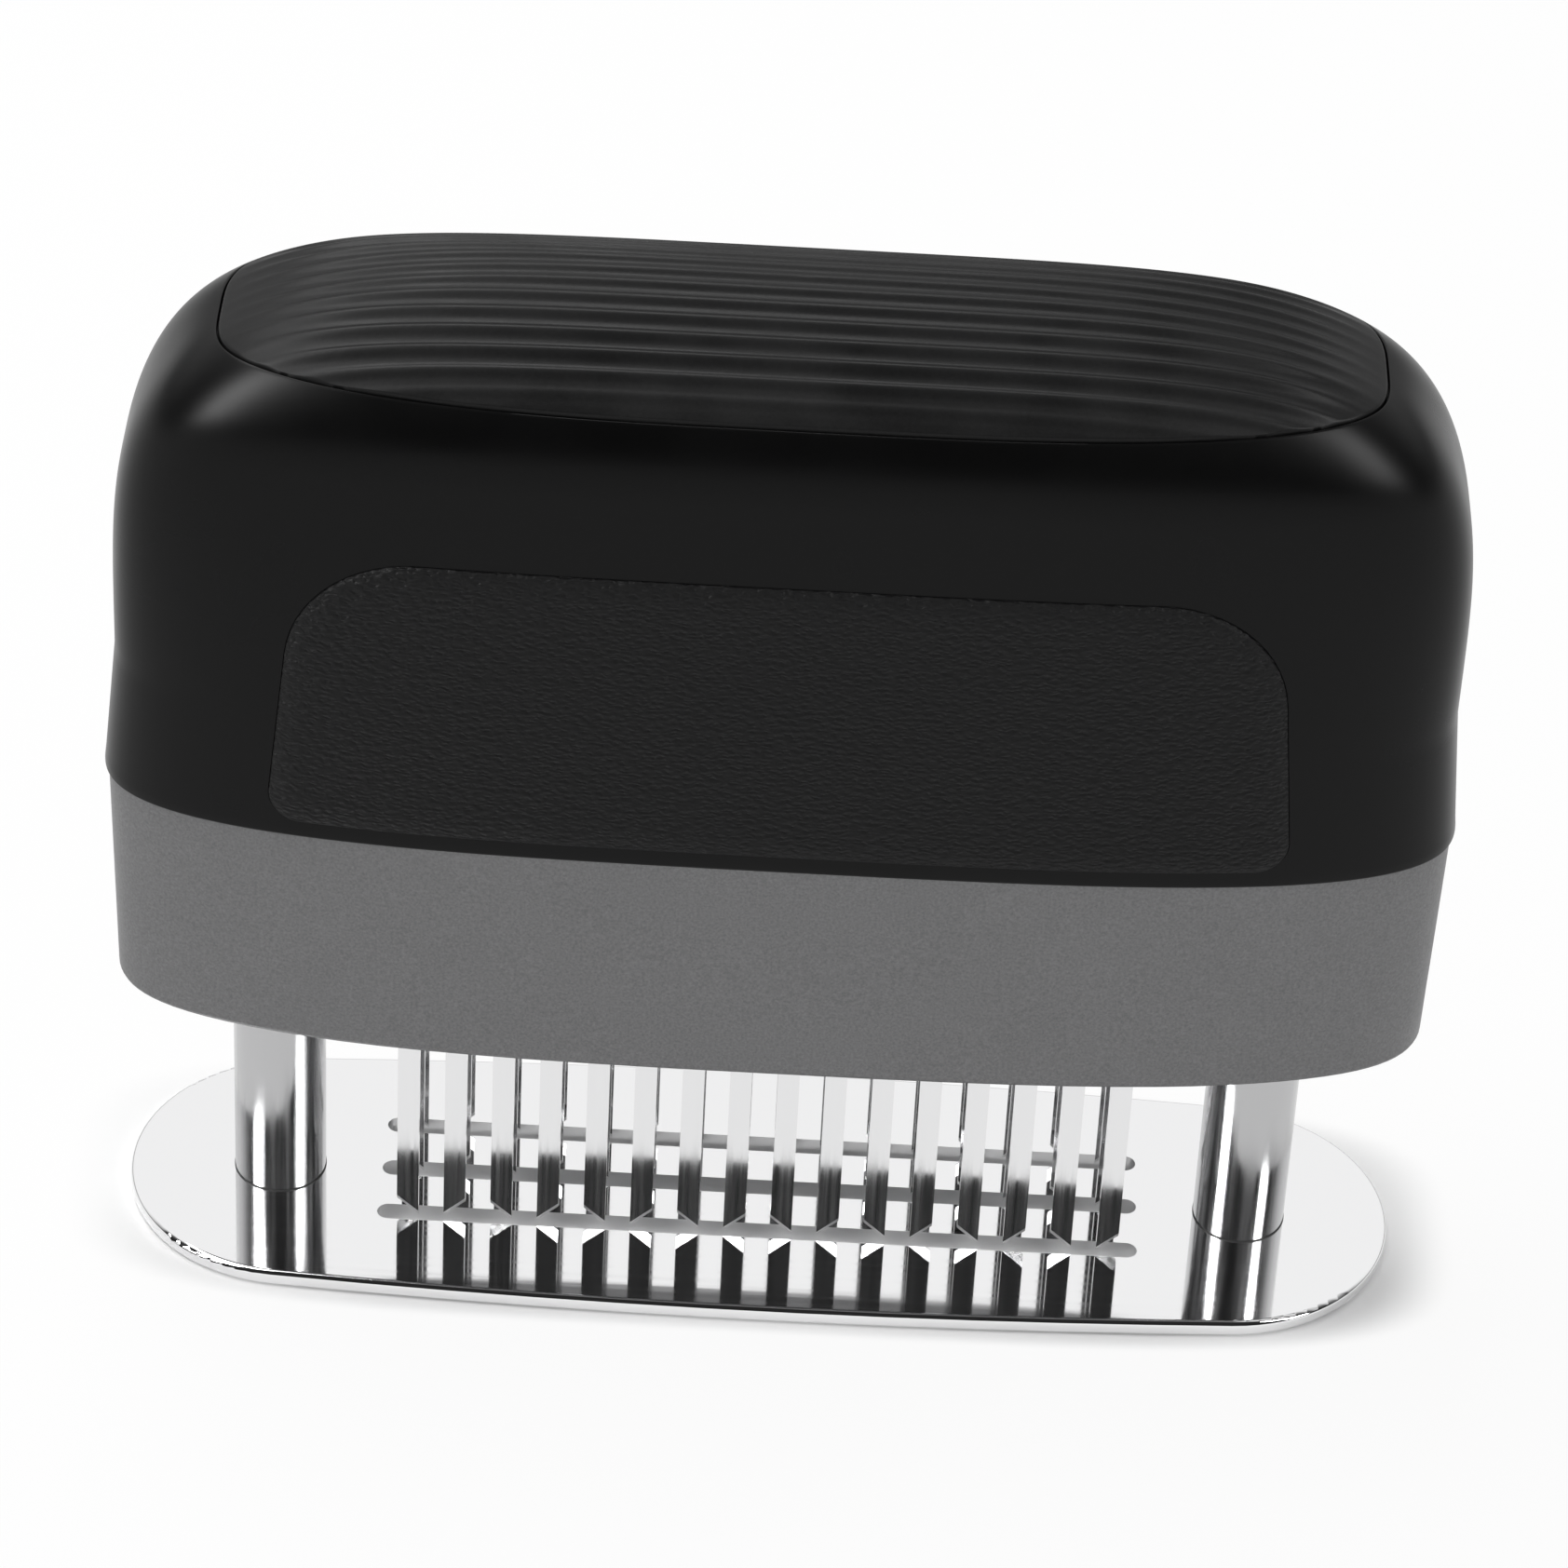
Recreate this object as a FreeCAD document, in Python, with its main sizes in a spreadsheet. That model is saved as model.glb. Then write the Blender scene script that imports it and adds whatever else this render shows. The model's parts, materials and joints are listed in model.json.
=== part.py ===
import FreeCAD, Part
import math
import os
import Sketcher
from FreeCAD import Rotation, Vector

# Blade meat tenderizer, millimetres, +Z up.
# The origin is at the middle of the base plate's underside. X runs along the
# tool and -Y is the front. The base plate and its two posts stand still, and
# the head with the blades slides down the posts against two springs.

# Driving dimensions: one named value each
SIZES = [
    # base plate
    ("plate_length", 141.6),
    ("plate_width", 41.4),
    ("plate_thickness", 2.0),
    ("plate_side_bow", 1.7),
    ("plate_edge_radius", 0.6),
    ("slot_length", 85.0),
    ("slot_width", 2.5),
    # posts and their springs
    ("post_spacing", 108.0),
    ("post_diameter", 10.2),
    ("post_flange_diameter", 14.4),
    ("post_flange_height", 2.8),
    ("post_spigot_diameter", 7.0),
    ("post_spigot_height", 10.0),
    ("post_screw_diameter", 4.0),
    ("post_screw_head", 7.6),
    ("post_screw_length", 11.0),
    ("spring_wire", 1.5),
    ("spring_coil_diameter", 10.4),
    ("spring_turns", 9.0),
    ("spring_steps_per_turn", 12),
    # head outline and heights
    ("travel", 26.0),
    ("stop_gap", 4.0),
    ("collar_height", 28.0),
    ("collar_bottom_length", 142.8),
    ("collar_bottom_width", 33.6),
    ("collar_top_length", 144.0),
    ("collar_top_width", 34.6),
    ("collar_floor", 3.2),
    ("collar_edge_radius", 0.5),
    ("head_length", 144.8),
    ("head_width", 35.2),
    ("shoulder_length", 141.8),
    ("shoulder_width", 34.8),
    ("shoulder_height", 30.0),
    ("side_round_height", 45.0),
    ("crown_height", 63.2),
    ("rim_height", 54.0),
    ("outline_power", 3.0),
    ("end_round_power", 3.0),
    ("side_round_power", 2.0),
    ("wall", 2.4),
    ("lip_height", 2.4),
    ("lip_wall", 1.0),
    # top pad and grip panels
    ("pad_lip", 0.7),
    ("pad_recess", 1.0),
    ("rib_spacing", 2.2),
    ("rib_width", 1.1),
    ("rib_rise", 0.3),
    ("rib_length", 92.0),
    ("ribs_each_side", 5),
    ("panel_length", 107.0),
    ("panel_top_length", 101.0),
    ("panel_bottom", 2.2),
    ("panel_height", 34.4),
    ("panel_top_radius", 14.0),
    ("panel_bottom_radius", 5.0),
    ("panel_thickness", 1.4),
    ("panel_proud", 0.15),
    # blade combs
    ("blade_pairs", 8),
    ("blade_pitch", 5.21),
    ("blade_width", 2.4),
    ("blade_thickness", 1.0),
    ("blade_slant", 2.2),
    ("blade_bevel", 0.8),
    ("tip_height", 1.6),
    ("row_spacing", 7.54),
    ("comb_bar_height", 9.0),
    ("comb_bar_overhang", 1.4),
    # carrier that holds the combs
    ("carrier_length", 87.0),
    ("carrier_width", 25.0),
    ("carrier_shelf", 5.4),
    ("clamp_thickness", 2.0),
    ("pin_diameter", 2.5),
    ("pin_spacing", 72.0),
    ("carrier_screw_spacing", 41.68),
    ("carrier_screw_diameter", 2.5),
    ("carrier_screw_head", 4.4),
    ("carrier_screw_head_height", 1.5),
    # guide bushings, stop washers, spring cups
    ("bushing_diameter", 14.0),
    ("bushing_length", 14.0),
    ("bushing_flange_diameter", 17.6),
    ("bushing_flange_height", 2.0),
    ("stop_washer_height", 1.2),
    ("guide_bore", 16.4),
    ("guide_wall", 1.8),
    ("spring_cup_height", 3.0),
    ("spring_seat_height", 48.5),
    # screws between collar and housing
    ("collar_screw_spacing", 94.0),
    ("collar_screw_offset", 9.0),
    ("collar_screw_diameter", 2.6),
    ("collar_screw_head", 4.6),
    ("collar_screw_head_height", 1.8),
    ("collar_screw_length", 16.0),
    ("boss_diameter", 6.0),
    ("boss_gap", 4.0),
    # named clearances
    ("running_clearance", 0.06),
    ("fit_clearance", 0.1),
    ("panel_clearance", 0.15),
    ("blade_slot_clearance", 0.5),
    ("screw_clearance", 0.2),
    ("spring_clearance", 0.3),
]

doc = FreeCAD.newDocument("blade_meat_tenderizer")
sheet = doc.addObject("Spreadsheet::Sheet", "sizes")
for row, (alias, number) in enumerate(SIZES, start=1):
    sheet.set("A%d" % row, alias)
    sheet.set("B%d" % row, str(number))
    sheet.setAlias("B%d" % row, alias)
doc.recompute()


def size(alias):
    """A driving dimension read from the sheet."""
    return float(sheet.get(alias))


# Places worked out from the driving dimensions, as formulas of the sheet
PLATE_TOP = "sizes.plate_thickness"
HEAD_BOTTOM = "(sizes.plate_thickness + sizes.travel + sizes.stop_gap)"
FLOOR_TOP = "(" + HEAD_BOTTOM + " + sizes.collar_floor)"
BUSHING_TOP = "(" + HEAD_BOTTOM + " + sizes.bushing_length)"
POST_STOP = "(" + BUSHING_TOP + " + sizes.stop_washer_height)"
POST_TOP = "(" + POST_STOP + " + sizes.post_flange_height)"
COMB_SHELF = "(" + FLOOR_TOP + " + sizes.carrier_shelf)"
CARRIER_TOP = "(" + COMB_SHELF + " + sizes.comb_bar_height)"
ROW_HALF = "((sizes.blade_pairs - 0.5) * sizes.blade_pitch + sizes.blade_width / 2)"

head_bottom = size("plate_thickness") + size("travel") + size("stop_gap")
floor_top = head_bottom + size("collar_floor")
seam = head_bottom + size("collar_height")
shoulder = seam + size("shoulder_height")
crown = seam + size("crown_height")
rim = seam + size("rim_height")
bushing_top = head_bottom + size("bushing_length")
post_top = bushing_top + size("stop_washer_height") + size("post_flange_height")
spring_seat = seam + size("spring_seat_height")
comb_shelf = floor_top + size("carrier_shelf")
carrier_top = comb_shelf + size("comb_bar_height")
post_x = size("post_spacing") / 2


# Helpers for sketches whose points are bound to the sheet
def origin_plane(body, role):
    return next(item for item in body.Origin.OriginFeatures if item.Role == role)


def new_body(label):
    body = doc.addObject("PartDesign::Body", label)
    body.Label = label
    return body


def place(item, **places):
    """Binds the item's Placement to formulas of the sheet."""
    for axis, formula in places.items():
        item.setExpression("Placement.Base." + axis, formula)


def new_sketch(body, name, role, height=None):
    sketch = body.newObject("Sketcher::SketchObject", name)
    sketch.AttachmentSupport = [(origin_plane(body, role), "")]
    sketch.MapMode = "FlatFace"
    if height:
        sketch.setExpression("AttachmentOffset.Base.z", height)
    return sketch


def pin_point(sketch, geometry, point, across, up, start=1.0):
    """Fixes a point of the sketch at two formulas; "0" puts it on the axis."""
    for kind, formula, axis in (("DistanceX", across, -2), ("DistanceY", up, -1)):
        if formula == "0":
            sketch.addConstraint(Sketcher.Constraint("PointOnObject", geometry, point, axis))
        else:
            number = sketch.addConstraint(
                Sketcher.Constraint(kind, -1, 1, geometry, point, start))
            sketch.setExpression("Constraints[%d]" % number, formula)


def draw_outline(sketch, corners):
    """Closed outline of straight edges through corners given as formulas."""
    first = sketch.GeometryCount
    count = len(corners)
    start = [Vector(math.cos(2 * math.pi * i / count), math.sin(2 * math.pi * i / count), 0)
             for i in range(count)]
    for i in range(count):
        sketch.addGeometry(Part.LineSegment(start[i], start[(i + 1) % count]))
    for i in range(count):
        sketch.addConstraint(Sketcher.Constraint(
            "Coincident", first + i, 2, first + (i + 1) % count, 1))
    for i, (across, up) in enumerate(corners):
        pin_point(sketch, first + i, 1, across, up)


def draw_circle(sketch, across, up, diameter):
    index = sketch.addGeometry(Part.Circle(Vector(0, 0, 0), Vector(0, 0, 1), 1.0))
    pin_point(sketch, index, 3, across, up)
    number = sketch.addConstraint(Sketcher.Constraint("Diameter", index, 1.0))
    sketch.setExpression("Constraints[%d]" % number, diameter)


def draw_rectangle(sketch, half_length, half_width, middle_up="0"):
    """Rectangle centred across, its middle at the height of middle_up."""
    low = "(%s) - (%s)" % (middle_up, half_width)
    high = "(%s) + (%s)" % (middle_up, half_width)
    draw_outline(sketch, [("-(%s)" % half_length, low), (half_length, low),
                          (half_length, high), ("-(%s)" % half_length, high)])


def pad_up(body, sketch, length, name):
    feature = body.newObject("PartDesign::Pad", name)
    feature.Profile = sketch
    feature.setExpression("Length", length)
    return feature


def pad_midplane(body, sketch, length, name):
    feature = pad_up(body, sketch, length, name)
    feature.SideType = "Symmetric"
    return feature


def cut_through(body, sketch, name):
    """Pocket through everything on both sides of its sketch."""
    feature = body.newObject("PartDesign::Pocket", name)
    feature.Profile = sketch
    feature.SideType = "Symmetric"
    feature.Type = "ThroughAll"
    return feature


def turned(label, corners, **places):
    """A body turned about its own Z axis from a half section (radius, height)."""
    body = new_body(label)
    sketch = new_sketch(body, label + "_section", "XZ_Plane")
    draw_outline(sketch, corners)
    turn = body.newObject("PartDesign::Revolution", label + "_turn")
    turn.Profile = sketch
    turn.ReferenceAxis = (sketch, ["V_Axis"])
    turn.Angle = 360.0
    place(body, **places)
    return body


def shape_part(label, shape):
    """A sub-part whose shape comes from the functions below."""
    item = doc.addObject("Part::Feature", label)
    item.Label = label
    item.Shape = shape
    return item


# Helpers for the oval head. Its outline at every height is a superellipse.
def oval_wire(half_length, half_width, height, points=5):
    """Closed oval of four quarter curves; even parameters keep lofts between ovals smooth."""
    power = size("outline_power")
    step = 0.5 * math.pi / points
    quarters = []
    for quarter in range(4):
        corners = []
        headings = []
        for i in range(points + 1):
            turn = 0.5 * math.pi * quarter + i * step
            across, deep = math.cos(turn), math.sin(turn)
            reach = (abs(across) ** power + abs(deep) ** power) ** (-1 / power)
            corners.append(Vector(half_length * across * reach, half_width * deep * reach, height))
            headings.append(Vector(-half_length * deep * step, half_width * across * step, 0))
        curve = Part.BSplineCurve()
        curve.interpolate(Points=corners, Parameters=list(range(points + 1)), Scale=False,
                          InitialTangent=headings[0], FinalTangent=headings[-1])
        quarters.append(curve.toShape())
    return Part.Wire(quarters)


def oval_prism(half_length, half_width, bottom, height):
    """Upright solid of the oval outline."""
    face = Part.Face(oval_wire(half_length, half_width, bottom))
    return face.extrude(Vector(0, 0, height))


def rounded(full, height, start, power):
    """Half size at a height of a side that rounds over from start to the crown."""
    rise = max(0.0, (height - start) / (crown - start))
    return full * max(0.0, 1.0 - rise ** power) ** (1.0 / power)


def head_half_sizes(height):
    """Half length and half width of the housing at a height."""
    slope = min(1.0, (height - seam) / (shoulder - seam))
    full_length = (size("head_length") + slope * (size("shoulder_length") - size("head_length"))) / 2
    full_width = (size("head_width") + slope * (size("shoulder_width") - size("head_width"))) / 2
    return (rounded(full_length, height, shoulder, size("end_round_power")),
            rounded(full_width, height, seam + size("side_round_height"), size("side_round_power")))


def head_solid(offset, bottom, top, steps=6):
    """Solid of the housing's outline, grown by offset, between two heights."""
    wires = []
    for i in range(steps + 1):
        height = bottom + (top - bottom) * math.sin(0.5 * math.pi * i / steps)
        half_length, half_width = head_half_sizes(height)
        wires.append(oval_wire(half_length + offset, half_width + offset, height))
    return Part.makeLoft(wires, True)


def collar_solid(offset, bottom, top, edge=0.0):
    """Solid of the collar's tapered outline, grown by offset, with a rounded lower edge."""
    wires = []
    levels = [(0.0, top)]
    if edge:
        for i in range(3):
            turn = 0.25 * math.pi * i
            levels.append((edge * (math.cos(turn) - 1), bottom + edge * (1 - math.sin(turn))))
    else:
        levels.append((0.0, bottom))
    for inset, height in reversed(levels):
        share = (height - head_bottom) / (seam - head_bottom)
        half_length = (size("collar_bottom_length")
                       + share * (size("collar_top_length") - size("collar_bottom_length"))) / 2
        half_width = (size("collar_bottom_width")
                      + share * (size("collar_top_width") - size("collar_bottom_width"))) / 2
        wires.append(oval_wire(half_length + offset + inset, half_width + offset + inset, height))
    return Part.makeLoft(wires, True, True)


def cylinder(diameter, bottom, top, across=0.0, deep=0.0):
    return Part.makeCylinder(diameter / 2, top - bottom, Vector(across, deep, bottom))


def slot_solid(length, width, bottom, top, deep=0.0):
    """Upright prism with round ends, centred on X, for a row of blades."""
    straight = length / 2 - width / 2
    bar = Part.makeBox(2 * straight, width, top - bottom, Vector(-straight, deep - width / 2, bottom))
    ends = [cylinder(width, bottom, top, side * straight, deep) for side in (-1, 1)]
    return bar.fuse(ends).removeSplitter()


ROWS = (("front", -1), ("middle", 0), ("rear", 1))
SIDES = (("left", -1), ("right", 1))
CORNERS = [(x, y) for x in (-1, 1) for y in (-1, 1)]


# Base plate: an oval of four tangent arcs with three blade slots
def make_base_plate():
    body = new_body("base_plate")
    sketch = new_sketch(body, "plate_outline", "XY_Plane")
    half_width = size("plate_width") / 2
    end_radius = half_width - size("plate_side_bow")
    centre = size("plate_length") / 2 - end_radius
    side_radius = (centre ** 2 + half_width ** 2 - end_radius ** 2) / (2 * (half_width - end_radius))
    lean = math.atan2(centre, side_radius - half_width)
    drop = side_radius - half_width
    quarter = math.pi / 2
    arcs = ((centre, 0, end_radius, lean - quarter, quarter - lean),
            (0, -drop, side_radius, quarter - lean, quarter + lean),
            (-centre, 0, end_radius, quarter + lean, 3 * quarter - lean),
            (0, drop, side_radius, 3 * quarter - lean, 3 * quarter + lean))
    for across, up, radius, start, end in arcs:
        circle = Part.Circle(Vector(across, up, 0), Vector(0, 0, 1), radius)
        sketch.addGeometry(Part.ArcOfCircle(circle, start, end))
    for i in range(4):
        sketch.addConstraint(Sketcher.Constraint("Tangent", i, 2, (i + 1) % 4, 1))
    end_formula = "(sizes.plate_width / 2 - sizes.plate_side_bow)"
    end_centre = "(sizes.plate_length / 2 - %s)" % end_formula
    pin_point(sketch, 0, 3, end_centre, "0", centre)
    pin_point(sketch, 2, 3, "-" + end_centre, "0", -centre)
    side_formula = ("(%s ^ 2 + sizes.plate_width ^ 2 / 4 - %s ^ 2)"
                    " / (2 * sizes.plate_side_bow)") % (end_centre, end_formula)
    for index, formula in enumerate((end_formula, side_formula, end_formula, side_formula)):
        radius = (end_radius, side_radius)[index % 2]
        number = sketch.addConstraint(Sketcher.Constraint("Radius", index, radius))
        sketch.setExpression("Constraints[%d]" % number, formula)
    plate = pad_up(body, sketch, "sizes.plate_thickness", "plate")
    doc.recompute()

    rounding = body.newObject("PartDesign::Fillet", "plate_rounding")
    rounding.Base = (plate, ["Edge%d" % (i + 1) for i, edge in enumerate(plate.Shape.Edges)
                             if edge.BoundBox.ZLength < 0.01])
    rounding.setExpression("Radius", "sizes.plate_edge_radius")

    holes = new_sketch(body, "post_screw_holes", "XY_Plane")
    for sign in ("", "-"):
        draw_circle(holes, sign + "sizes.post_spacing / 2", "0",
                    "sizes.post_screw_diameter + 2 * sizes.screw_clearance")
    hole_cut = cut_through(body, holes, "post_screw_hole_cut")
    doc.recompute()
    sink = body.newObject("PartDesign::Chamfer", "post_screw_countersink")
    sink.Base = (hole_cut, ["Edge%d" % (i + 1) for i, edge in enumerate(hole_cut.Shape.Edges)
                            if edge.BoundBox.ZMax < 0.01
                            and edge.BoundBox.XLength < size("post_screw_head")])
    sink.setExpression("Size", "(sizes.post_screw_head - sizes.post_screw_diameter) / 2")
    doc.recompute()

    slots = new_sketch(body, "blade_slots", "XY_Plane")
    straight = "(sizes.slot_length / 2 - sizes.slot_width / 2)"
    for name, row in ROWS:
        draw_rectangle(slots, straight, "sizes.slot_width / 2", "%d * sizes.row_spacing" % row)
    cut_through(body, slots, "blade_slot_cut")
    ends = new_sketch(body, "blade_slot_ends", "XY_Plane")
    for name, row in ROWS:
        up = "0" if row == 0 else "%d * sizes.row_spacing" % row
        draw_circle(ends, straight, up, "sizes.slot_width")
        draw_circle(ends, "-" + straight, up, "sizes.slot_width")
    cut_through(body, ends, "blade_slot_end_cut")


# Posts: turned steel rods with a stop flange and a spigot inside the spring
def make_posts():
    shank = "sizes.post_diameter / 2"
    flange = "sizes.post_flange_diameter / 2"
    spigot = "sizes.post_spigot_diameter / 2"
    thread = "sizes.post_screw_diameter / 2"
    spigot_top = POST_TOP + " + sizes.post_spigot_height"
    hole_top = "sizes.post_screw_length + 1"
    for name, side in SIDES:
        turned(name + "_post", [
            (thread, PLATE_TOP), (shank, PLATE_TOP), (shank, POST_STOP), (flange, POST_STOP),
            (flange, POST_TOP), (spigot, POST_TOP), (spigot, spigot_top + " - 1"),
            (spigot + " - 1", spigot_top), ("0", spigot_top), ("0", hole_top), (thread, hole_top),
        ], x="%d * sizes.post_spacing / 2" % side)


# Countersunk screws that hold the posts on the plate from below
def make_post_screws():
    head = size("post_screw_head")
    shank = size("post_screw_diameter")
    flush = size("fit_clearance")
    cone_height = (head - shank) / 2
    screws = []
    for name, side in SIDES:
        cone = Part.makeCone(head / 2 - flush, shank / 2 - flush, cone_height,
                             Vector(side * post_x, 0, flush))
        rod = cylinder(shank - 2 * flush, flush, size("post_screw_length"), side * post_x)
        drive = Part.makeBox(0.9 * shank, 0.25 * shank, 0.25 * shank,
                             Vector(side * post_x - 0.45 * shank, -0.125 * shank, flush))
        cross = drive.copy()
        cross.rotate(Vector(side * post_x, 0, 0), Vector(0, 0, 1), 90)
        screws.append(cone.fuse(rod).cut(drive).cut(cross))
    shape_part("post_screws", Part.makeCompound(screws))


# Blade combs: a punched strip with oblique tips that lean in turn right and left
def make_blade_combs():
    half_bar = ROW_HALF + " + sizes.comb_bar_overhang"
    start = "-" + ROW_HALF
    for name, row in ROWS:
        body = new_body("blade_comb_" + name)
        bar = new_sketch(body, name + "_bar_outline", "XZ_Plane")
        draw_outline(bar, [("-(%s)" % half_bar, COMB_SHELF), (half_bar, COMB_SHELF),
                           (half_bar, CARRIER_TOP), ("-(%s)" % half_bar, CARRIER_TOP)])
        for sign in ("", "-"):
            draw_circle(bar, sign + "sizes.pin_spacing / 2",
                        COMB_SHELF + " + sizes.comb_bar_height / 2",
                        "sizes.pin_diameter + 2 * sizes.fit_clearance")
        pad_midplane(body, bar, "sizes.blade_thickness", name + "_bar")
        pair = new_sketch(body, name + "_blade_pair", "XZ_Plane")
        left = start
        right = start + " + sizes.blade_width"
        low = "sizes.tip_height"
        high = "sizes.tip_height + sizes.blade_slant"
        draw_outline(pair, [(left, high), (right, low), (right, COMB_SHELF), (left, COMB_SHELF)])
        left = left + " + sizes.blade_pitch"
        right = right + " + sizes.blade_pitch"
        draw_outline(pair, [(left, low), (right, high), (right, COMB_SHELF), (left, COMB_SHELF)])
        blades = pad_midplane(body, pair, "sizes.blade_thickness", name + "_blades")
        row_pattern = body.newObject("PartDesign::LinearPattern", name + "_blade_row")
        row_pattern.Originals = [blades]
        row_pattern.Direction = (pair, ["H_Axis"])
        row_pattern.setExpression("Length", "(sizes.blade_pairs - 1) * 2 * sizes.blade_pitch")
        row_pattern.setExpression("Occurrences", "sizes.blade_pairs")
        body.Tip = row_pattern
        place(body, y="%d * sizes.row_spacing" % row)
        doc.recompute()
        grind_tips(body, row_pattern, name)


def grind_tips(body, row_pattern, name):
    """Bevels the oblique end of every blade on the front face."""
    front = -size("blade_thickness") / 2
    oblique = []
    for i, edge in enumerate(row_pattern.Shape.Edges):
        box = edge.BoundBox
        if (abs(box.YMin - front) < 0.001 and abs(box.YMax - front) < 0.001
                and abs(box.ZLength - size("blade_slant")) < 0.001
                and abs(box.XLength - size("blade_width")) < 0.001):
            oblique.append("Edge%d" % (i + 1))
    grind = body.newObject("PartDesign::Chamfer", name + "_tip_grind")
    grind.Base = (row_pattern, oblique)
    grind.setExpression("Size", "sizes.blade_bevel")
    body.Tip = grind


# Carrier: a moulded block with a slot and an end shelf for each comb
def make_blade_carrier():
    body = new_body("blade_carrier")
    block_outline = new_sketch(body, "carrier_outline", "XY_Plane", FLOOR_TOP)
    draw_rectangle(block_outline, "sizes.carrier_length / 2", "sizes.carrier_width / 2")
    block = pad_up(body, block_outline, "sizes.carrier_shelf + sizes.comb_bar_height", "block")
    doc.recompute()
    corners = body.newObject("PartDesign::Fillet", "block_corners")
    corners.Base = (block, ["Edge%d" % (i + 1) for i, edge in enumerate(block.Shape.Edges)
                            if edge.BoundBox.ZLength > 1])
    corners.setExpression("Radius", "sizes.wall")
    slots = new_sketch(body, "blade_passages", "XY_Plane", FLOOR_TOP)
    seats = new_sketch(body, "comb_seats", "XY_Plane", CARRIER_TOP)
    gap = "sizes.blade_thickness / 2 + sizes.fit_clearance"
    for name, row in ROWS:
        middle = "%d * sizes.row_spacing" % row
        draw_rectangle(slots, ROW_HALF + " + sizes.fit_clearance", gap, middle)
        draw_rectangle(seats, ROW_HALF + " + sizes.comb_bar_overhang + sizes.fit_clearance",
                       gap, middle)
    cut_through(body, slots, "blade_passage_cut")
    seat_cut = body.newObject("PartDesign::Pocket", "comb_seat_cut")
    seat_cut.Profile = seats
    seat_cut.setExpression("Length", "sizes.comb_bar_height")
    pin_holes = new_sketch(body, "pin_holes", "XZ_Plane")
    for sign in ("", "-"):
        draw_circle(pin_holes, sign + "sizes.pin_spacing / 2",
                    COMB_SHELF + " + sizes.comb_bar_height / 2",
                    "sizes.pin_diameter + 2 * sizes.fit_clearance")
    cut_through(body, pin_holes, "pin_hole_cut")
    add_carrier_screw_holes(body, FLOOR_TOP)


def add_carrier_screw_holes(body, height):
    holes = new_sketch(body, body.Label + "_screw_holes", "XY_Plane", height)
    for x in ("", "-"):
        for y in ("", "-"):
            draw_circle(holes, x + "sizes.carrier_screw_spacing / 2", y + "sizes.row_spacing / 2",
                        "sizes.carrier_screw_diameter + 2 * sizes.fit_clearance")
    cut_through(body, holes, body.Label + "_screw_hole_cut")


# Clamp: a steel strip across the combs, drawn down by the carrier screws
def make_comb_clamp():
    body = new_body("comb_clamp")
    outline = new_sketch(body, "clamp_outline", "XY_Plane", CARRIER_TOP)
    draw_rectangle(outline, "sizes.carrier_length / 2", "sizes.carrier_width / 2")
    strip = pad_up(body, outline, "sizes.clamp_thickness", "clamp_strip")
    doc.recompute()
    corners = body.newObject("PartDesign::Fillet", "clamp_corners")
    corners.Base = (strip, ["Edge%d" % (i + 1) for i, edge in enumerate(strip.Shape.Edges)
                            if edge.BoundBox.ZLength > 1])
    corners.setExpression("Radius", "sizes.wall")
    add_carrier_screw_holes(body, CARRIER_TOP)


def pan_screw(diameter, head, head_height, bottom, length, across, deep):
    """Pan-head screw that points up, with a cross recess in its head."""
    screw = cylinder(head, bottom, bottom + head_height, across, deep)
    screw = screw.fuse(cylinder(diameter, bottom, bottom + head_height + length, across, deep))
    for turn in (0, 90):
        drive = Part.makeBox(0.6 * head, 0.16 * head, 0.5 * head_height,
                             Vector(-0.3 * head, -0.08 * head, 0))
        drive.rotate(Vector(0, 0, 0), Vector(0, 0, 1), turn)
        drive.translate(Vector(across, deep, bottom))
        screw = screw.cut(drive)
    return screw


def make_head_screws():
    head_height = size("carrier_screw_head_height")
    reach = carrier_top + size("clamp_thickness") - head_bottom - head_height - size("fit_clearance")
    shape_part("carrier_screws", Part.makeCompound([
        pan_screw(size("carrier_screw_diameter"), size("carrier_screw_head"), head_height,
                  head_bottom + size("fit_clearance"), reach,
                  x * size("carrier_screw_spacing") / 2, y * size("row_spacing") / 2)
        for x, y in CORNERS]))
    shape_part("collar_screws", Part.makeCompound([
        pan_screw(size("collar_screw_diameter"), size("collar_screw_head"),
                  size("collar_screw_head_height"), head_bottom + size("fit_clearance"),
                  size("collar_screw_length"),
                  x * size("collar_screw_spacing") / 2, y * size("collar_screw_offset"))
        for x, y in CORNERS]))


# Pins: two rods from front to rear through the carrier and the combs
def make_comb_pins():
    length = size("carrier_width")
    height = comb_shelf + size("comb_bar_height") / 2
    shape_part("comb_pins", Part.makeCompound([
        Part.makeCylinder(size("pin_diameter") / 2, length,
                          Vector(side * size("pin_spacing") / 2, -length / 2, height),
                          Vector(0, 1, 0))
        for name, side in SIDES]))


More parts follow.
